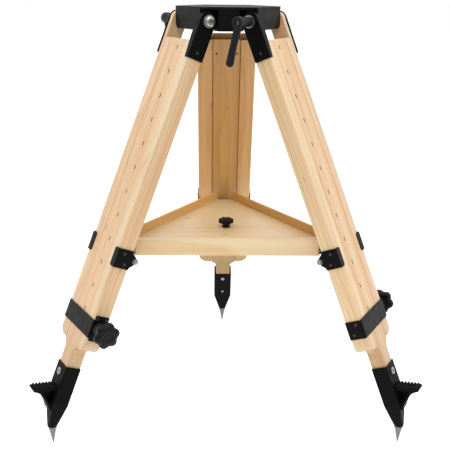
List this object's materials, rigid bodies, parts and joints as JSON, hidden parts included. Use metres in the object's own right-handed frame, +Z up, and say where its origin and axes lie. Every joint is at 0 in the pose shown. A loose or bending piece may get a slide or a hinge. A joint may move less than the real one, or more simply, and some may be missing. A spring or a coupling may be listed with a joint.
{
  "type": "astronomy tripod",
  "caption": "Wooden field tripod for a telescope, with a black metal head, sliding leg boards, star knobs, spiked feet with treads and a triangular eyepiece tray.",
  "frame": {"origin": "centre of the flat mounting face on top of the head, on the axis of the hole for the mount's bolt", "axes": "+Z up, -Y towards the front, where the tray's front board is; the rear leg points along +Y, legs spread and collapsed"},
  "size_m": [0.7566, 0.6852, 0.8251],
  "materials": {
    "leg_wood": "clear satin varnish on pale ash",
    "board_wood": "clear satin varnish on pale ash",
    "tray_wood": "clear satin varnish on pale ash",
    "black_casting": "fine textured powder coat",
    "black_sheet": "satin powder coat",
    "black_plastic": "matte moulded",
    "steel": "zinc plated"
  },
  "bodies": {
    "head": {"head_casting": "black_casting"},
    "spreader": {"spreader": "black_sheet"},
    "tray": {"tray_floor": "tray_wood", "tray_rim_front": "tray_wood", "tray_rim_right": "tray_wood", "tray_rim_left": "tray_wood"},
    "tray_knob": {"tray_knob": "black_plastic", "tray_knob_stud": "steel"},
    "rear_leg": {"rear_rail_bolt_side": "leg_wood", "rear_rail_lever_side": "leg_wood", "rear_hinge_brackets": "black_sheet", "rear_hinge_bolt": "steel", "rear_tray_brackets": "black_sheet", "rear_tray_axle": "steel", "rear_clamp_band": "black_sheet", "rear_leg_screws": "steel"},
    "rear_lever": {"rear_clamp_lever": "black_plastic", "rear_lever_screw": "steel"},
    "rear_foot": {"rear_extension": "board_wood", "rear_foot_shoe": "black_casting", "rear_spike": "steel", "rear_foot_tread": "black_casting", "rear_shoe_screws": "steel"},
    "rear_knob": {"rear_star_knob": "black_plastic", "rear_knob_stud": "steel"},
    "left_leg": {"left_rail_bolt_side": "leg_wood", "left_rail_lever_side": "leg_wood", "left_hinge_brackets": "black_sheet", "left_hinge_bolt": "steel", "left_tray_brackets": "black_sheet", "left_tray_axle": "steel", "left_clamp_band": "black_sheet", "left_leg_screws": "steel"},
    "left_lever": {"left_clamp_lever": "black_plastic", "left_lever_screw": "steel"},
    "left_foot": {"left_extension": "board_wood", "left_foot_shoe": "black_casting", "left_spike": "steel", "left_foot_tread": "black_casting", "left_shoe_screws": "steel"},
    "left_knob": {"left_star_knob": "black_plastic", "left_knob_stud": "steel"},
    "right_leg": {"right_rail_bolt_side": "leg_wood", "right_rail_lever_side": "leg_wood", "right_hinge_brackets": "black_sheet", "right_hinge_bolt": "steel", "right_tray_brackets": "black_sheet", "right_tray_axle": "steel", "right_clamp_band": "black_sheet", "right_leg_screws": "steel"},
    "right_lever": {"right_clamp_lever": "black_plastic", "right_lever_screw": "steel"},
    "right_foot": {"right_extension": "board_wood", "right_foot_shoe": "black_casting", "right_spike": "steel", "right_foot_tread": "black_casting", "right_shoe_screws": "steel"},
    "right_knob": {"right_star_knob": "black_plastic", "right_knob_stud": "steel"}
  },
  "joints": [
    {"name": "rear_leg_fold", "type": "hinge", "parent": "head", "child": "rear_leg", "pos_m": [0, 0.078, -0.025], "axis": [-1, 0, 0], "range_deg": [0, 18.4]},
    {"name": "left_leg_fold", "type": "hinge", "parent": "head", "child": "left_leg", "pos_m": [-0.06755, -0.039, -0.025], "axis": [0.5, -0.866, 0], "range_deg": [0, 18.4]},
    {"name": "right_leg_fold", "type": "hinge", "parent": "head", "child": "right_leg", "pos_m": [0.06755, -0.039, -0.025], "axis": [0.5, 0.866, 0], "range_deg": [0, 18.4]},
    {"name": "rear_lever_turn", "type": "hinge", "parent": "rear_leg", "child": "rear_lever", "pos_m": [0, 0.078, -0.025], "axis": [-1, 0, 0], "range_deg": [-95, 10]},
    {"name": "rear_extension_slide", "type": "slide", "parent": "rear_leg", "child": "rear_foot", "axis": [0, 0.3891, -0.9212], "range_m": [0, 0.43]},
    {"name": "rear_knob_turn", "type": "hinge", "parent": "rear_leg", "child": "rear_knob", "pos_m": [0, 0.31109, -0.57679], "axis": [-1, 0, 0], "range_deg": [0, 540]},
    {"name": "left_lever_turn", "type": "hinge", "parent": "left_leg", "child": "left_lever", "pos_m": [-0.06755, -0.039, -0.025], "axis": [0.5, -0.866, 0], "range_deg": [-95, 10]},
    {"name": "left_extension_slide", "type": "slide", "parent": "left_leg", "child": "left_foot", "axis": [-0.337, -0.1946, -0.9212], "range_m": [0, 0.43]},
    {"name": "left_knob_turn", "type": "hinge", "parent": "left_leg", "child": "left_knob", "pos_m": [-0.26941, -0.15554, -0.57679], "axis": [0.5, -0.866, 0], "range_deg": [0, 540]},
    {"name": "right_lever_turn", "type": "hinge", "parent": "right_leg", "child": "right_lever", "pos_m": [0.06755, -0.039, -0.025], "axis": [0.5, 0.866, 0], "range_deg": [-95, 10]},
    {"name": "right_extension_slide", "type": "slide", "parent": "right_leg", "child": "right_foot", "axis": [0.337, -0.1946, -0.9212], "range_m": [0, 0.43]},
    {"name": "right_knob_turn", "type": "hinge", "parent": "right_leg", "child": "right_knob", "pos_m": [0.26941, -0.15554, -0.57679], "axis": [0.5, 0.866, 0], "range_deg": [0, 540]},
    {"name": "spreader_swing", "type": "hinge", "parent": "rear_leg", "child": "spreader", "pos_m": [0, 0.23588, -0.45658], "axis": [1, 0, 0], "range_deg": [0, 107]},
    {"name": "tray_lift", "type": "slide", "parent": "spreader", "child": "tray", "axis": [0, 0, 1], "range_m": [0, 0.012]},
    {"name": "tray_knob_turn", "type": "hinge", "parent": "tray", "child": "tray_knob", "pos_m": [0, 0, -0.441], "axis": [0, 0, 1], "range_deg": [0, 540]}
  ],
  "couplings": [
    {"joint": "left_leg_fold", "follows": "rear_leg_fold", "ratio": 1},
    {"joint": "right_leg_fold", "follows": "rear_leg_fold", "ratio": 1},
    {"joint": "spreader_swing", "follows": "rear_leg_fold", "ratio": 5.8}
  ]
}
